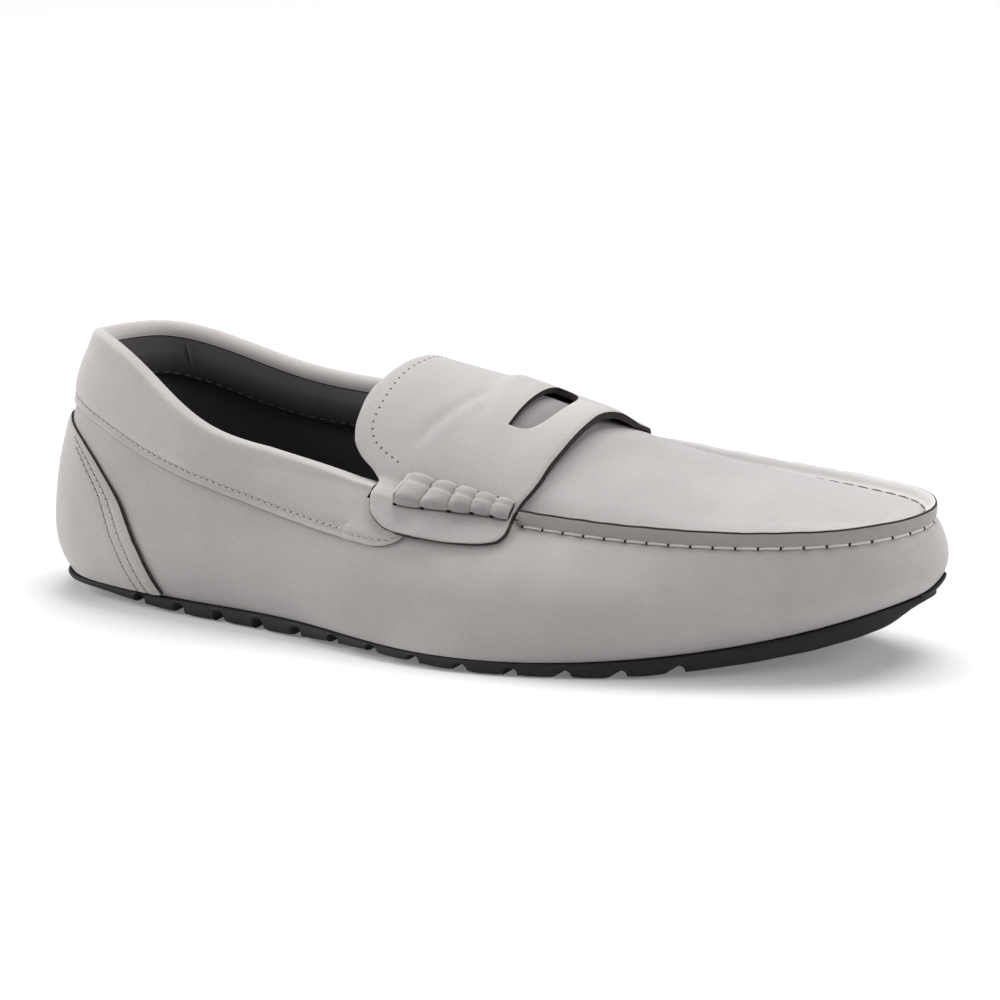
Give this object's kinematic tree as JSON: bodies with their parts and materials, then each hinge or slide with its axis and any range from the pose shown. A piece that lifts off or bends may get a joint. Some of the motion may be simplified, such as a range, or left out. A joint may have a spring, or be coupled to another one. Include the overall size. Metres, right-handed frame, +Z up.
{
  "type": "driving moccasin",
  "caption": "Low slip-on driving moccasin with a raised seam around the toe, a slotted saddle strap with stitched side rolls, a padded collar and a thin lugged rubber sole.",
  "frame": {"origin": "middle of the shoe's own box, on the floor plane", "axes": "+X from the heel to the toe, +Y to the medial side, +Z up from the floor"},
  "size_m": [0.2836, 0.0962, 0.0798],
  "materials": {
    "upper": "matt, finely buffed grey leather",
    "outsole": "matt black moulded rubber",
    "insole": "smooth dark grey lining leather",
    "collar": "matt, finely buffed grey leather, padded",
    "heel_counter": "matt, finely buffed grey leather",
    "saddle": "matt, finely buffed grey leather with dark cut edges",
    "beef_roll_lateral": "matt, finely buffed grey leather",
    "beef_roll_medial": "matt, finely buffed grey leather"
  },
  "bodies": {
    "root": {"upper": "upper", "outsole": "outsole", "insole": "insole", "collar": "collar", "heel_counter": "heel_counter", "saddle": "saddle", "beef_roll_lateral": "beef_roll_lateral", "beef_roll_medial": "beef_roll_medial"}
  },
  "joints": []
}
